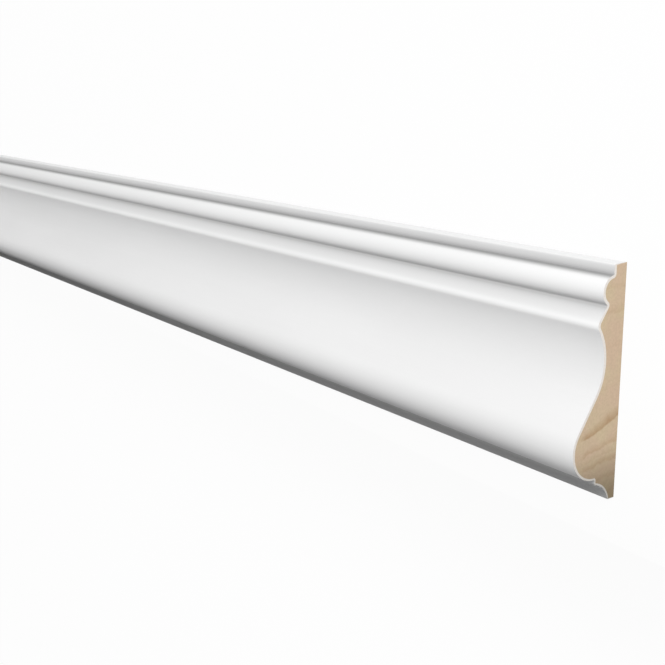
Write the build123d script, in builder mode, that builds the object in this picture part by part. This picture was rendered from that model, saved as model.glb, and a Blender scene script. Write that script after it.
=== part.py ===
from build123d import *
import math
import os

# Chair rail moulding: one length of softwood stock, run to a single profile and coated white.
# It lies on its flat back. X runs along the length, Y from the foot to the top edge, Z out to the front.
# Lengths are in millimetres and angles in degrees. Thicknesses are measured from the back.

# Stock
length = 2438.0
thickness = 17.15

# Members of the profile, from the foot up to the top edge
foot_width = 2.65
cavetto_height = 5.53
cavetto_radius = 7.0
step_height = 1.47
bulge_radius = 8.9
ogee_slope = 34.3
ogee_flat = 10.66
hollow_radius = 15.7
ridge_rise = 3.4
flare_height = 5.0
quirk_thickness = 6.65
bead_height = 7.45
bead_rise = 2.8
fillet_height = 2.72
top_width = 4.7

# Softened edges: the nose of the ridge, the outer corners, and the quirks where the coat gathers
ridge_radius = 2.2
arris_radius = 0.5
quirk_radius = 0.3

# Heights that follow from the members
slope = math.radians(ogee_slope)
ridge_turn = math.acos(1 - ridge_rise / hollow_radius)
bulge_climb = bulge_radius * (1 + math.sin(slope))
hollow_climb = hollow_radius * (math.sin(slope) + math.sin(ridge_turn))
ogee_height = bulge_climb + ogee_flat * math.cos(slope) + hollow_climb
step_top = cavetto_height + step_height
quirk_level = step_top + ogee_height + flare_height
fillet_level = quirk_level + bead_height
height = fillet_level + fillet_height

# The bulge is a half round that springs level from the top of the step
step_thickness = thickness - bulge_radius

# The profile's own axes: x is the height above the foot, y is the distance out from the back
profile_plane = Plane((0, -height / 2, 0), x_dir=(0, 1, 0), z_dir=(1, 0, 0))

with BuildPart() as moulding:
    with BuildSketch(profile_plane) as profile:
        with BuildLine():
            foot = Line((0, 0), (0, foot_width))
            cavetto = RadiusArc(foot @ 1, (cavetto_height, step_thickness), -cavetto_radius)
            step = Line(cavetto @ 1, (step_top, step_thickness))
            bulge = JernArc(step @ 1, (0, 1), bulge_radius, -(90 + ogee_slope))
            ogee = PolarLine(bulge @ 1, ogee_flat, direction=bulge % 1)
            hollow = JernArc(ogee @ 1, ogee % 1, hollow_radius, ogee_slope + math.degrees(ridge_turn))
            flare = Line(hollow @ 1, (quirk_level, quirk_thickness))
            bead = SagittaArc(flare @ 1, (fillet_level, top_width), bead_rise)
            fillet_face = Line(bead @ 1, (height, top_width))
            top_edge = Line(fillet_face @ 1, (height, 0))
            back = Line(top_edge @ 1, foot @ 0)
        make_face()
        ridge_corner = profile.vertices().sort_by_distance(hollow @ 1)[0]
        fillet(ridge_corner, ridge_radius)
        for corner in (foot @ 1, cavetto @ 1, fillet_face @ 1):
            fillet(profile.vertices().sort_by_distance(corner)[0], arris_radius)
        for corner in (step @ 1, flare @ 1, bead @ 1):
            fillet(profile.vertices().sort_by_distance(corner)[0], quirk_radius)
    extrude(amount=length / 2, both=True)

moulding.part.label = "moulding"
os.makedirs("parts", exist_ok=True)
export_step(moulding.part, "parts/moulding.step")
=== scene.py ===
import math

import bpy
import numpy as np
from mathutils import Matrix, Vector


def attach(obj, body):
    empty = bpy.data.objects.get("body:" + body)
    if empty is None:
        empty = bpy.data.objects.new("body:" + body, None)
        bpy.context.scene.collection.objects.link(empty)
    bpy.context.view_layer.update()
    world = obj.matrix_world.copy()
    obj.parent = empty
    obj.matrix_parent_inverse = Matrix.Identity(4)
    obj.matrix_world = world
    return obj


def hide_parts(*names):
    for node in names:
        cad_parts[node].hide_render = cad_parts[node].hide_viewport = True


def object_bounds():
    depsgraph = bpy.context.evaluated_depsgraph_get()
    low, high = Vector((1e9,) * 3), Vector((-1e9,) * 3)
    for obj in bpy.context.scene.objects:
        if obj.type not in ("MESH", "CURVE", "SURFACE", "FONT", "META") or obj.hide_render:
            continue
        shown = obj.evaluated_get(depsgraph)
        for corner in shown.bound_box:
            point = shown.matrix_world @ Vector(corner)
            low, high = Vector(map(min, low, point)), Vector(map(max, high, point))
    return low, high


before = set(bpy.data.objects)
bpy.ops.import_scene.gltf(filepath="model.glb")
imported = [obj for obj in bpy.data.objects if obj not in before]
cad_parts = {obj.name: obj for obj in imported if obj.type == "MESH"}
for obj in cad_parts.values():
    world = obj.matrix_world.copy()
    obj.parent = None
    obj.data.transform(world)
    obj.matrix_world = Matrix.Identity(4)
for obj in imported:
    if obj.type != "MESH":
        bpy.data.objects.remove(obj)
cad_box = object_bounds()

# A length of white-coated pine chair rail, lying on its back.
# X runs along it, Y from its foot to its top edge, Z from its back to its front.
# Lengths are in metres, apart from those in the materials, which are in millimetres.
MILLIMETRES = 1000.0

# Members of the profile, from the foot up
FOOT_WIDTH = 0.00265
CAVETTO_HEIGHT = 0.00553
CAVETTO_RADIUS = 0.0070
STEP_HEIGHT = 0.00147
BULGE_RADIUS = 0.0089
OGEE_SLOPE = math.radians(34.3)
OGEE_FLAT = 0.01066
HOLLOW_RADIUS = 0.0157
RIDGE_RISE = 0.0034
FLARE_HEIGHT = 0.0050
QUIRK_THICKNESS = 0.00665
BEAD_HEIGHT = 0.00745
BEAD_RISE = 0.0028
TOP_WIDTH = 0.0047
RIDGE_RADIUS = 0.0022
ARRIS_RADIUS = 0.0005
QUIRK_RADIUS = 0.0003

# The coat's thickness: on most of the front, under the bulge, and at the arrises of the foot and the
# top edge, from where it thins out to nothing at the back; and the least rounding of the wood's arrises
COAT = 0.0008
UNDER_COAT = 0.0005
EDGE_COAT = 0.0003
WOOD_ARRIS = 0.0001

# How finely the profile and the length are divided
PROFILE_STEP = 0.00016
FINE_STEP = 0.00002
ROUNDING_REACH = 0.0045
LENGTH_CUTS = 40
SHARP_EDGE = math.radians(50)

# Painted light in the coat's colour over the profile: painted shade in its hollows and quirks, a painted
# highlight on its crests, a fine painted shade line in the quirk above the bead, and painted shade
# towards the foot
SHADE_REACH = 0.020
QUIRK_FILL = 0.0003
# Power on the openness that gives the painted shade in the hollows and quirks
QUIRK_PAINTED_SHADE_POWER = 1.4
# Reach of the crest measure, and strength of the painted highlight on the crests
CREST_REACH = 0.002
CREST_PAINTED_HIGHLIGHT = 0.9
# Offset, reach and tone of the fine painted shade line in the quirk above the bead
QUIRK_LINE_DROP = 0.00015
QUIRK_LINE_REACH = 0.00075
QUIRK_LINE_PAINTED_SHADE = 0.60
# Height reached and tone at the foot of the painted shade that darkens the coat towards the foot
FOOT_PAINTED_SHADE_REACH = 0.007
FOOT_PAINTED_SHADE_TONE = 0.55

# Strips of the texture map, lower and upper edge
FRONT_STRIP = (0.0, 0.31)
BACK_STRIP = (0.32, 0.43)
FAR_END_STRIP = (0.44, 0.715)
NEAR_END_STRIP = (0.72, 0.995)

# The photograph's frame and its camera
IMAGE_PX = 665
FOCAL_PX = 1017.9
SENSOR_MM = 36.0
NEAREST_SEEN = 0.01
CAMERA_PLACE = Vector((1.3774, 0.0803, 0.2079))
CAMERA_AIM = Vector((-0.7803, -0.2531, -0.5720))
CAMERA_UP = Vector((-0.1945, 0.9673, -0.1628))

low, high = (Vector(corner) for corner in cad_box)
half_length = high.x
height = high.y - low.y
thickness = high.z


# Profile, as rows of (height above the foot, depth from the back)

def straight(start, end):
    """Fine points from start to end."""
    start, end = np.array(start), np.array(end)
    count = max(int(np.linalg.norm(end - start) / FINE_STEP), 2)
    return start + (end - start) * np.linspace(0, 1, count)[:, None]


def arc(centre, radius, first, last):
    """Fine points on a circle; angle 0 points up the height, and a quarter turn to the front."""
    count = max(int(abs(last - first) * radius / FINE_STEP), 2)
    turn = np.linspace(first, last, count)
    return np.array(centre) + radius * np.stack([np.cos(turn), np.sin(turn)], axis=1)


def arc_between(start, end, radius, swell):
    """Fine points on the short arc between two points: swell is 1 to the front, -1 into the wood."""
    start, end = np.array(start), np.array(end)
    chord = end - start
    length = np.linalg.norm(chord)
    outward = np.array([-chord[1], chord[0]]) / length
    centre = (start + end) / 2 - swell * outward * math.sqrt(radius**2 - length**2 / 4)
    first, last = (math.atan2(p[1] - centre[1], p[0] - centre[0]) for p in (start, end))
    return arc(centre, radius, first, first + math.remainder(last - first, math.tau))


def normals(points):
    """Unit normals of a line's points, to the front."""
    along = np.gradient(points, axis=0)
    out = np.stack([-along[:, 1], along[:, 0]], axis=1)
    return out / np.linalg.norm(out, axis=1)[:, None]


def rounded(before, after, radius, swell):
    """Joins two lines with an arc that touches both: swell is 1 at an arris, -1 in a quirk."""
    reach = int(ROUNDING_REACH / FINE_STEP)
    head, tail = before[-reach:], after[:reach]
    head_centres = head - swell * radius * normals(head)
    tail_centres = tail - swell * radius * normals(tail)
    gaps = np.linalg.norm(head_centres[:, None] - tail_centres[None], axis=2)
    leave, join = np.unravel_index(gaps.argmin(), gaps.shape)
    start = before[: len(before) - len(head) + leave + 1]
    end = after[join:]
    bend = arc_between(start[-1], end[0], radius, swell)
    return np.concatenate([start, bend[1:-1], end])


def runs(points):
    """Distance along a line at each of its points."""
    steps = np.linalg.norm(np.diff(points, axis=0), axis=1)
    return np.concatenate([[0], np.cumsum(steps)])


def spaced(points, step):
    """The same line with evenly spaced points."""
    run = runs(points)
    at = np.linspace(0, run[-1], round(run[-1] / step) + 1)
    return np.stack([np.interp(at, run, points[:, k]) for k in range(2)], axis=1)


def ogee_curve(step_top, step_thickness):
    """The bulge, the straight run and the hollow, with the coat on them."""
    bulge_centre = (step_top + BULGE_RADIUS, step_thickness)
    bulge = arc(bulge_centre, BULGE_RADIUS, math.pi, math.pi / 2 - OGEE_SLOPE)
    uphill = np.array([math.cos(OGEE_SLOPE), -math.sin(OGEE_SLOPE)])
    run = straight(bulge[-1], bulge[-1] + OGEE_FLAT * uphill)
    out = np.array([math.sin(OGEE_SLOPE), math.cos(OGEE_SLOPE)])
    hollow_centre = run[-1] + HOLLOW_RADIUS * out
    ridge_turn = math.acos(1 - RIDGE_RISE / HOLLOW_RADIUS)
    hollow = arc(hollow_centre, HOLLOW_RADIUS, -math.pi / 2 - OGEE_SLOPE, -math.pi / 2 + ridge_turn)
    curve = np.concatenate([bulge, run[1:], hollow[1:]])
    swelling = np.linspace(UNDER_COAT, COAT, len(bulge))
    even = np.full(len(curve) - len(bulge), COAT)
    return curve, np.concatenate([swelling, even])


def bead_curve(start):
    """The bead, a shallow arc from the quirk below it to the quirk above."""
    end = (start[0] + BEAD_HEIGHT, TOP_WIDTH)
    half_chord = math.dist(start, end) / 2
    radius = (half_chord**2 + BEAD_RISE**2) / (2 * BEAD_RISE)
    return arc_between(start, end, radius, 1)


def members():
    """The foot, and the members above it, each with its coat and the radius and swell of its join."""
    step_top = CAVETTO_HEIGHT + STEP_HEIGHT
    step_thickness = thickness - BULGE_RADIUS
    foot = straight((0, 0), (0, FOOT_WIDTH))
    cavetto = arc_between(foot[-1], (CAVETTO_HEIGHT, step_thickness), CAVETTO_RADIUS, -1)
    step = straight(cavetto[-1], (step_top, step_thickness))
    ogee, ogee_coat = ogee_curve(step_top, step_thickness)
    flare = straight(ogee[-1], (ogee[-1][0] + FLARE_HEIGHT, QUIRK_THICKNESS))
    bead = bead_curve(flare[-1])
    fillet = straight(bead[-1], (height, TOP_WIDTH))
    top_edge = straight(fillet[-1], (height, 0))
    edge_coat = np.linspace(EDGE_COAT, 0, len(top_edge))
    joins = (
        (cavetto, UNDER_COAT, ARRIS_RADIUS, 1),
        (step, UNDER_COAT, ARRIS_RADIUS, 1),
        (ogee, ogee_coat, QUIRK_RADIUS, -1),
        (flare, COAT, RIDGE_RADIUS, 1),
        (bead, COAT, QUIRK_RADIUS, -1),
        (fillet, COAT, QUIRK_RADIUS, -1),
        (top_edge, edge_coat, ARRIS_RADIUS, 1),
    )
    return foot, joins


def coated_outline():
    """The outline of the coat, from the back of the foot round the front to the back of the top edge."""
    outline, joins = members()
    for member, _, radius, swell in joins:
        outline = rounded(outline, member, radius, swell)
    return spaced(outline, PROFILE_STEP)


def wood_outline():
    """The outline of the bare wood under the coat; it meets the coat's outline at the back."""
    foot, joins = members()
    outline = foot - np.linspace(0, EDGE_COAT, len(foot))[:, None] * normals(foot)
    for member, coat, radius, swell in joins:
        cover = np.broadcast_to(coat, len(member))
        under = member - cover[:, None] * normals(member)
        outline = rounded(outline, under, max(radius - swell * cover[0], WOOD_ARRIS), swell)
    return spaced(outline, PROFILE_STEP)


def openness(outline):
    """Share of the light from all round that gets to each point, as the least of its near points."""
    away = outline[None] - outline[:, None]
    out = normals(outline)
    up = np.einsum("ijk,ik->ij", away, out)
    across = away[..., 0] * out[:, None, 1] - away[..., 1] * out[:, None, 0]
    distance = np.maximum(np.linalg.norm(away, axis=2), FINE_STEP)
    nearness = np.clip(1 - distance / SHADE_REACH, 0, 1)
    lost = np.where(up > 0, nearness * (1 - np.abs(across) / distance), 0)
    uphill = np.where(across > 0, lost, 0).max(axis=1)
    downhill = np.where(across < 0, lost, 0).max(axis=1)
    share = 1 - (uphill + downhill) / 2
    near = round(QUIRK_FILL / PROFILE_STEP)
    windows = np.lib.stride_tricks.sliding_window_view(np.pad(share, near, mode="edge"), 2 * near + 1)
    return windows.min(axis=1)


def crests(outline):
    """How far the outline falls away on both sides of each point, as a share of the distance, squared."""
    count = round(CREST_REACH / PROFILE_STEP)
    padded = np.pad(outline, ((count, count), (0, 0)), mode="edge")
    middle = (padded[:-2 * count] + padded[2 * count:]) / 2
    fall = np.einsum("ij,ij->i", outline - middle, normals(outline))
    return np.clip(fall / CREST_REACH, 0, 1) ** 2


def coat_painted_light(outline):
    """Painted light in the coat's colour: painted shade in the quirks and towards the foot, a painted
    highlight on the crests.
    """
    _, joins = members()
    top_quirk = joins[-2][0][0]
    # Fine painted shade line in the quirk above the bead
    from_line = np.abs(outline[:, 0] - top_quirk[0] + QUIRK_LINE_DROP)
    line = np.interp(from_line, (0, QUIRK_LINE_REACH), (QUIRK_LINE_PAINTED_SHADE, 1))
    # Painted shade darkening the coat towards the foot
    foot_shading = np.interp(outline[:, 0], (0, FOOT_PAINTED_SHADE_REACH), (FOOT_PAINTED_SHADE_TONE, 1))
    # Painted highlight on the crests below the fillet
    below_fillet = outline[:, 0] < top_quirk[0]
    bright = 1 + CREST_PAINTED_HIGHLIGHT * crests(outline) * below_fillet
    # Painted shade in the hollows and quirks, times the other painted marks
    return openness(outline) ** QUIRK_PAINTED_SHADE_POWER * bright * line * foot_shading


# Mesh

class MouldingMesh:
    """Collects the corners, faces, materials and texture places of the moulding."""

    def __init__(self):
        self.verts = []
        self.faces = []
        self.kinds = []
        self.places = []

    def ring(self, points, x):
        """Adds one section's points at x and gives their numbers."""
        first = len(self.verts)
        self.verts += [(x, low.y + h, low.z + d) for h, d in points]
        return range(first, len(self.verts))

    def face(self, corners, places, kind):
        self.faces.append(tuple(corners))
        self.places += places
        self.kinds.append(kind)

    def strip(self, rings, stations, across, span, kind):
        """Skins the run between two stations; across places each point between the strip's edges."""
        near, far = rings
        u0, u1 = ((x + half_length) / (2 * half_length) for x in stations)
        v = [span[0] + (span[1] - span[0]) * t for t in across]
        for k in range(len(near) - 1):
            corners = (near[k], near[k + 1], far[k + 1], far[k])
            places = [(u0, v[k]), (u0, v[k + 1]), (u1, v[k + 1]), (u1, v[k])]
            self.face(corners, places, kind)

    def sawn_end(self, outer, outline, wood, x, span):
        """Closes one end with the coat's cut rim and the bare wood inside it."""
        inner = [outer[0], *self.ring(wood[1:-1], x), outer[-1]]
        scale = (span[1] - span[0]) / thickness
        spots = {}
        for numbers, points in ((outer, outline), (inner, wood)):
            spots.update((n, (h / height, span[0] + d * scale)) for n, (h, d) in zip(numbers, points))
        rim = [*outer, *inner[-2:0:-1]]
        for corners, kind in ((rim, "cut"), (inner, "end")):
            if x > 0:
                corners = corners[::-1]
            self.face(corners, [spots[n] for n in corners], kind)


def moulding_shape(outline, stations):
    """The skin of the front and the back, and both sawn ends."""
    shape = MouldingMesh()
    wood = wood_outline()
    rings = [shape.ring(outline, x) for x in stations]
    along_front = runs(outline) / runs(outline)[-1]
    for i in range(LENGTH_CUTS):
        pair, ends = rings[i:i + 2], stations[i:i + 2]
        shape.strip(pair, ends, along_front, FRONT_STRIP, "coat")
        back_pair = [(ring[-1], ring[0]) for ring in pair]
        shape.strip(back_pair, ends, (1.0, 0.0), BACK_STRIP, "back")
    shape.sawn_end(rings[0], outline, wood, stations[0], FAR_END_STRIP)
    shape.sawn_end(rings[-1], outline, wood, stations[-1], NEAR_END_STRIP)
    return shape


def make_moulding(materials):
    """The piece, with its materials, its texture map and the painted shade and highlight of the coat at
    each point.
    """
    outline = coated_outline()
    stations = np.linspace(-half_length, half_length, LENGTH_CUTS + 1)
    shape = moulding_shape(outline, stations)
    mesh = bpy.data.meshes.new("coated_moulding")
    mesh.from_pydata(shape.verts, [], shape.faces)
    for material in materials.values():
        mesh.materials.append(material)
    order = list(materials)
    mesh.polygons.foreach_set("material_index", [order.index(kind) for kind in shape.kinds])
    mesh.polygons.foreach_set("use_smooth", [kind == "coat" for kind in shape.kinds])
    texture_map = mesh.uv_layers.new(name="OFBake")
    texture_map.data.foreach_set("uv", np.array(shape.places).ravel())
    # Painted shade and highlight of the coat at each point of the rings; 1 on the ends
    painted_light_values = np.ones(len(shape.verts))
    painted_light_values[:len(outline) * len(stations)] = np.tile(coat_painted_light(outline), len(stations))
    mesh.attributes.new("coat_painted_light", "FLOAT", "POINT").data.foreach_set("value", painted_light_values)
    mesh.validate()
    mesh.set_sharp_from_angle(angle=SHARP_EDGE)
    piece = bpy.data.objects.new("coated_moulding", mesh)
    bpy.context.collection.objects.link(piece)
    return piece


# Node helpers

def node(tree, kind, inputs=None, **settings):
    """Adds a shader node; an input is either a value or a socket to link from."""
    made = tree.nodes.new("ShaderNode" + kind)
    for name, value in settings.items():
        setattr(made, name, value)
    for key, value in (inputs or {}).items():
        if isinstance(value, bpy.types.NodeSocket):
            tree.links.new(value, made.inputs[key])
        else:
            made.inputs[key].default_value = value
    return made


def calc(tree, operation, *values):
    return node(tree, "Math", dict(enumerate(values)), operation=operation).outputs[0]


def ease(tree, value, from_range, to_range):
    """Smoothly maps one range onto another and stays level outside it."""
    names = ("From Min", "From Max", "To Min", "To Max")
    inputs = dict(zip(names, (*from_range, *to_range)), Value=value)
    return node(tree, "MapRange", inputs, interpolation_type="SMOOTHSTEP").outputs[0]


def blend(tree, factor, first, second, mode="MIX"):
    inputs = {0: factor, 6: first, 7: second}
    return node(tree, "Mix", inputs, data_type="RGBA", blend_type=mode).outputs[2]


def grey(value):
    return (value, value, value, 1)


def millimetres(tree):
    """Places on the piece in millimetres."""
    place = node(tree, "TexCoord").outputs["Object"]
    return node(tree, "VectorMath", {0: place, "Scale": MILLIMETRES}, operation="SCALE").outputs[0]


def grain(tree, place, waves, detail=2.0):
    """Noise with the given number of waves to a millimetre along each axis."""
    stretched = node(tree, "VectorMath", {0: place, 1: waves}, operation="MULTIPLY").outputs[0]
    return node(tree, "TexNoise", {"Vector": stretched, "Scale": 1.0, "Detail": detail}).outputs[0]


def bump(tree, shader, relief, depth, strength):
    made = node(tree, "Bump", {"Height": relief, "Distance": depth, "Strength": strength})
    tree.links.new(made.outputs[0], shader.inputs["Normal"])


def new_material(name):
    material = bpy.data.materials.new(name)
    material.use_nodes = True
    return material, material.node_tree, material.node_tree.nodes["Principled BSDF"]


# Materials

# Colours of the coat, its cut rim and the wood
COAT_WHITE = 0.86
CUT_CREAM = (0.81, 0.765, 0.715, 1)
# Darker colour of the cut rim at the foot: painted shade
CUT_PAINTED_SHADE = (0.52, 0.50, 0.465, 1)
EARLYWOOD = (0.604, 0.452, 0.322, 1)
EARLYWOOD_YELLOW = (0.596, 0.478, 0.318, 1)
LATEWOOD = (0.415, 0.262, 0.140, 1)
# Colour multiplied into the end grain at the foot, and the height it reaches: painted shade
END_PAINTED_SHADE = (0.44, 0.44, 0.41, 1)
END_PAINTED_SHADE_HEIGHT = 18.0

# Noises, in waves to a millimetre along each axis, and the spans of them that are used
DRAG_LINES = (0.006, 1.1, 1.1)
COAT_CLOUDS = (0.012, 0.05, 0.05)
CUT_CHALK = (0.5, 2.2, 2.2)
RING_WANDER = (0.0015, 0.17, 0.17)
RING_PATCHES = (0.004, 0.22, 0.22)
WOOD_MOTTLE = (0.004, 0.14, 0.14)
WOOD_FIBRE = (0.03, 1.7, 1.7)
SAW_MARKS = (0.0, 0.5, 3.0)
PLANED_FIBRE = (0.03, 2.5, 2.5)
NOISE_SPAN = (0.3, 0.7)
PATCH_SPAN = (0.3, 0.62)
FIBRE_SPAN = (0.28, 0.72)

# Tones that the noises give, from the low end of the span to the high one
CLOUD_TONES = (0.975, 1.0)
CHALK_TONES = (0.94, 1.0)
PATCH_TONES = (0.75, 1.05)
FIBRE_TONES = (0.95, 1.04)

# Roughness and gloss, and the depth and strength of the fine relief
COAT_ROUGHNESS = (0.42, 0.52)
CUT_ROUGHNESS = 0.85
END_ROUGHNESS = 0.82
BACK_ROUGHNESS = (0.72, 0.55)
BACK_LATEWOOD = (0.0, 0.6)
SATIN_GLOSS = 0.3
DULL_GLOSS = 0.2
DRAG_RELIEF = (0.00004, 0.35)
SAW_RELIEF = (0.00006, 0.4)
PLANED_RELIEF = (0.00005, 0.5)

# Growth rings: height of the dark edge above the foot, how far it fades upwards, how dark it is
RINGS = (
    (2.6, 0.9, 0.20),
    (6.6, 1.3, 0.28),
    (11.1, 1.5, 0.36),
    (13.1, 0.8, 0.14),
    (15.5, 1.7, 0.40),
    (21.2, 3.2, 0.85),
    (31.0, 1.6, 0.08),
    (42.0, 1.6, 0.08),
    (51.2, 2.4, 0.24),
    (57.4, 1.4, 0.14),
)

# Width of a ring's lower edge, height that the rings' ramp spans, and how far the noise moves a ring
RING_EDGE = 0.45
RING_SCALE = 66.0
RING_WAVER = 4.0

# The lean of the rings: heights over which it grows and goes, its most, what is left, depth of its pivot
LEAN_GROWS = (6.0, 24.0)
LEAN_GOES = (28.0, 44.0)
LEAN_MOST = 0.35
LEAN_LEFT = 0.1
LEAN_PIVOT = 6.0

# Depths over which the rings fade towards the nose of the bulge, and the share left there
NOSE_FADE = (12.0, 14.5)
NOSE_RINGS = 0.2

# Height of the piece's middle above the foot
FOOT_TO_MIDDLE = height * MILLIMETRES / 2


def coat_material():
    """Satin white coat, with painted shade where the profile closes in, painted highlights on the crests,
    and faint lengthwise drag lines.
    """
    material, tree, shader = new_material("white_coat")
    place = millimetres(tree)
    # Painted shade and highlight over the profile, times faint random clouds
    painted_light_factor = node(tree, "Attribute", attribute_name="coat_painted_light").outputs["Fac"]
    drag = grain(tree, place, DRAG_LINES, detail=3.0)
    cloud = ease(tree, grain(tree, place, COAT_CLOUDS), NOISE_SPAN, CLOUD_TONES)
    painted_light_and_clouds = calc(tree, "MULTIPLY", painted_light_factor, cloud)
    tree.links.new(blend(tree, 1.0, grey(COAT_WHITE), painted_light_and_clouds, "MULTIPLY"), shader.inputs["Base Color"])
    tree.links.new(ease(tree, drag, NOISE_SPAN, COAT_ROUGHNESS), shader.inputs["Roughness"])
    shader.inputs["Specular IOR Level"].default_value = SATIN_GLOSS
    bump(tree, shader, drag, *DRAG_RELIEF)
    return material


def foot_shade(tree, place):
    """How far painted shade darkens the sawn end, from 0 well above the foot to 1 at the foot."""
    above_foot = calc(tree, "ADD", node(tree, "SeparateXYZ", {0: place}).outputs[1], FOOT_TO_MIDDLE)
    return ease(tree, above_foot, (0.0, END_PAINTED_SHADE_HEIGHT), (1.0, 0.0))


def cut_material():
    """The coat where the saw went through it, with painted shade towards the foot."""
    material, tree, shader = new_material("coat_cut")
    place = millimetres(tree)
    chalk = ease(tree, grain(tree, place, CUT_CHALK), NOISE_SPAN, CHALK_TONES)
    # Painted shade: the rim goes to the darker colour towards the foot
    colour = blend(tree, foot_shade(tree, place), CUT_CREAM, CUT_PAINTED_SHADE)
    tree.links.new(blend(tree, 1.0, colour, chalk, "MULTIPLY"), shader.inputs["Base Color"])
    shader.inputs["Roughness"].default_value = CUT_ROUGHNESS
    shader.inputs["Specular IOR Level"].default_value = DULL_GLOSS
    return material


def ring_ramp(tree, value):
    """Darkness of the growth rings at a height; each has a crisp lower edge and fades upwards."""
    ramp = node(tree, "ValToRGB", {0: calc(tree, "DIVIDE", value, RING_SCALE)})
    elements = ramp.color_ramp.elements
    elements[0].color = grey(0.0)
    elements[1].color = grey(0.0)
    for edge, fade, dark in RINGS:
        for place, shade in ((edge - RING_EDGE, 0.0), (edge, dark), (edge + fade, 0.0)):
            elements.new(place / RING_SCALE).color = grey(shade)
    return ramp.outputs[0]


def ring_lean(tree, above_foot):
    """How steeply the rings climb towards the back at a height."""
    grown = ease(tree, above_foot, LEAN_GROWS, (0.0, LEAN_MOST))
    left = ease(tree, above_foot, LEAN_GOES, (1.0, LEAN_LEFT))
    return calc(tree, "MULTIPLY", grown, left)


def ring_shade(tree, place):
    """Share of latewood in the growth rings, which waver, lean and fade towards the nose."""
    axes = node(tree, "SeparateXYZ", {0: place}).outputs
    above_foot = calc(tree, "ADD", axes[1], FOOT_TO_MIDDLE)
    past_pivot = calc(tree, "SUBTRACT", axes[2], LEAN_PIVOT)
    slant = calc(tree, "MULTIPLY", ring_lean(tree, above_foot), past_pivot)
    wander = calc(tree, "SUBTRACT", grain(tree, place, RING_WANDER, detail=3.0), 0.5)
    ring = calc(tree, "MULTIPLY_ADD", wander, RING_WAVER, calc(tree, "ADD", above_foot, slant))
    inside = ease(tree, axes[2], NOSE_FADE, (1.0, NOSE_RINGS))
    patchy = ease(tree, grain(tree, place, RING_PATCHES), PATCH_SPAN, PATCH_TONES)
    return calc(tree, "MULTIPLY", ring_ramp(tree, ring), calc(tree, "MULTIPLY", patchy, inside))


def pine(tree, place):
    """Colour of the wood and the share of latewood in it."""
    latewood = ring_shade(tree, place)
    mottle = ease(tree, grain(tree, place, WOOD_MOTTLE), NOISE_SPAN, (0.0, 1.0))
    pale = blend(tree, mottle, EARLYWOOD, EARLYWOOD_YELLOW)
    wood = blend(tree, latewood, pale, LATEWOOD)
    fibre = ease(tree, grain(tree, place, WOOD_FIBRE, detail=4.0), FIBRE_SPAN, FIBRE_TONES)
    return blend(tree, 1.0, wood, fibre, "MULTIPLY"), latewood


def end_material():
    """Sawn end grain, with painted shade darkening it towards the foot."""
    material, tree, shader = new_material("pine_end")
    place = millimetres(tree)
    wood, _ = pine(tree, place)
    # Painted shade: the end grain darkens towards the foot
    shaded_wood = blend(tree, 1.0, wood, END_PAINTED_SHADE, "MULTIPLY")
    tree.links.new(blend(tree, foot_shade(tree, place), wood, shaded_wood), shader.inputs["Base Color"])
    shader.inputs["Roughness"].default_value = END_ROUGHNESS
    shader.inputs["Specular IOR Level"].default_value = DULL_GLOSS
    bump(tree, shader, grain(tree, place, SAW_MARKS, detail=4.0), *SAW_RELIEF)
    return material


def back_material():
    """Planed back, with straight lengthwise grain."""
    material, tree, shader = new_material("pine_back")
    place = millimetres(tree)
    wood, latewood = pine(tree, place)
    tree.links.new(wood, shader.inputs["Base Color"])
    tree.links.new(ease(tree, latewood, BACK_LATEWOOD, BACK_ROUGHNESS), shader.inputs["Roughness"])
    shader.inputs["Specular IOR Level"].default_value = SATIN_GLOSS
    bump(tree, shader, grain(tree, place, PLANED_FIBRE, detail=3.0), *PLANED_RELIEF)
    return material


# Stage: floor, dark card beside the foot, light and camera

FLOOR_REACH = 8.0
FLOOR_GAP = 0.0001
FLOOR_GLOW = 0.95
FLOOR_SCATTER = 0.65
FLOOR_PALE = 0.9
FLOOR_DULL = 0.8
CARD_HEIGHT = 0.04
CARD_OVERHANG = 0.04
CARD_GAPS = (0.004, 0.014)
CARD_BEND = 0.45
CARD_BLACK = 0.01
SKY_LIGHT = 0.62
LAMP_PLACE = Vector((1.60, 0.50, 0.60))
LAMP_SIZE = 0.6
LAMP_WATTS = 4.2


def stage_sheet(name, corners, panels, material):
    mesh = bpy.data.meshes.new(name)
    mesh.from_pydata(corners, [], panels)
    mesh.materials.append(material)
    sheet = bpy.data.objects.new(name, mesh)
    bpy.context.collection.objects.link(sheet)
    return sheet


def empty_tree(owner):
    owner.use_nodes = True
    owner.node_tree.nodes.clear()
    return owner.node_tree


def seen_directly(tree):
    """1 where the camera sees a surface itself, or in a gloss or glass, and 0 for scattered light."""
    path = node(tree, "LightPath").outputs
    mirrored = calc(tree, "MAXIMUM", path["Is Glossy Ray"], path["Is Transmission Ray"])
    return calc(tree, "MAXIMUM", path["Is Camera Ray"], mirrored)


def make_floor():
    """White to the eye, with a part of it left to take the shadow; duller to scattered light."""
    material = bpy.data.materials.new("floor_white")
    tree = empty_tree(material)
    glow = node(tree, "Emission", {"Color": grey(1.0), "Strength": 1.0})
    pale = node(tree, "BsdfDiffuse", {"Color": grey(FLOOR_PALE)})
    shown = node(tree, "MixShader", {0: FLOOR_GLOW, 1: pale.outputs[0], 2: glow.outputs[0]})
    grey_sheet = node(tree, "BsdfDiffuse", {"Color": grey(FLOOR_DULL)})
    dull = node(tree, "MixShader", {0: FLOOR_SCATTER, 1: grey_sheet.outputs[0], 2: glow.outputs[0]})
    both = node(tree, "MixShader", {0: seen_directly(tree), 1: dull.outputs[0], 2: shown.outputs[0]})
    node(tree, "OutputMaterial", {"Surface": both.outputs[0]})
    reach, z = FLOOR_REACH, -FLOOR_GAP
    corners = [(-reach, -reach, z), (reach, -reach, z), (reach, reach, z), (-reach, reach, z)]
    stage_sheet("floor", corners, [(0, 1, 2, 3)], material)


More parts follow.
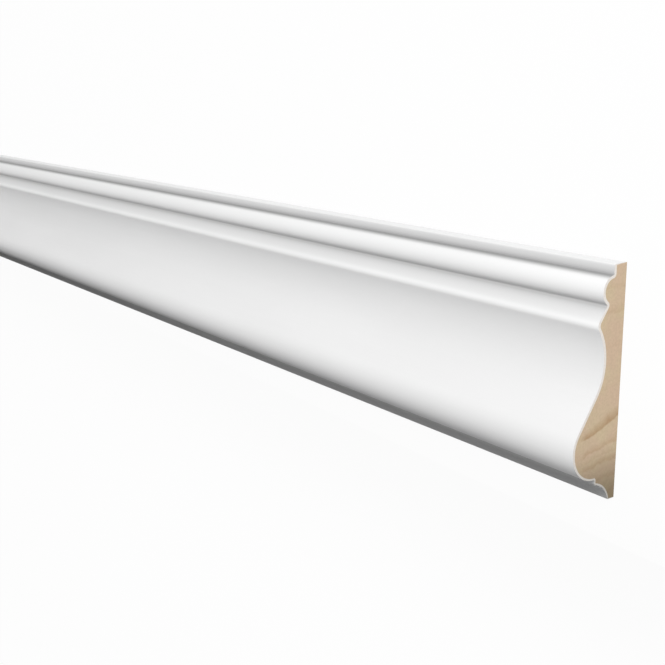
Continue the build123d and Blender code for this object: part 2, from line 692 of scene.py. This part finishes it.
def make_card():
    """A dark card along the foot, bent away at the near end, that keeps light off that side unseen."""
    material = bpy.data.materials.new("card_black")
    tree = empty_tree(material)
    black = node(tree, "BsdfDiffuse", {"Color": grey(CARD_BLACK)})
    node(tree, "OutputMaterial", {"Surface": black.outputs[0]})
    reach = half_length + CARD_OVERHANG
    bends = ((-reach, CARD_GAPS[0]), (half_length - CARD_BEND, CARD_GAPS[0]), (reach, CARD_GAPS[1]))
    corners = [(x, low.y - gap, z) for x, gap in bends for z in (0, CARD_HEIGHT)]
    card = stage_sheet("card", corners, [(0, 2, 3, 1), (2, 4, 5, 3)], material)
    card.visible_camera = False


def make_light():
    """Even light from all round, and one soft lamp above the near end."""
    world = bpy.data.worlds.new("studio")
    bpy.context.scene.world = world
    tree = empty_tree(world)
    sky = node(tree, "Background", {"Color": grey(1.0), "Strength": SKY_LIGHT})
    white = node(tree, "Background", {"Color": grey(1.0), "Strength": 1.0})
    both = node(tree, "MixShader", {0: seen_directly(tree), 1: sky.outputs[0], 2: white.outputs[0]})
    node(tree, "OutputWorld", {"Surface": both.outputs[0]})
    data = bpy.data.lights.new("soft_lamp", "AREA")
    data.shape = "DISK"
    data.size = LAMP_SIZE
    data.energy = LAMP_WATTS
    lamp = bpy.data.objects.new("soft_lamp", data)
    bpy.context.collection.objects.link(lamp)
    near_end = Vector((half_length, 0, 0))
    lamp.location = LAMP_PLACE
    lamp.rotation_euler = (LAMP_PLACE - near_end).to_track_quat("Z", "Y").to_euler()


def make_camera():
    data = bpy.data.cameras.new("photo_camera")
    data.sensor_width = SENSOR_MM
    data.lens = FOCAL_PX / IMAGE_PX * SENSOR_MM
    data.clip_start = NEAREST_SEEN
    camera = bpy.data.objects.new("photo_camera", data)
    bpy.context.collection.objects.link(camera)
    back = -CAMERA_AIM.normalized()
    right = CAMERA_UP.cross(back).normalized()
    up = back.cross(right)
    turn = Matrix((right, up, back)).transposed().to_4x4()
    camera.matrix_world = Matrix.Translation(CAMERA_PLACE) @ turn
    bpy.context.scene.camera = camera


# The piece and its stage

finishes = {
    "coat": coat_material(),
    "cut": cut_material(),
    "end": end_material(),
    "back": back_material(),
}
moulding = make_moulding(finishes)
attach(moulding, "root")
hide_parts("moulding")
make_floor()
make_card()
make_light()
make_camera()
bpy.context.scene.view_settings.view_transform = "Standard"
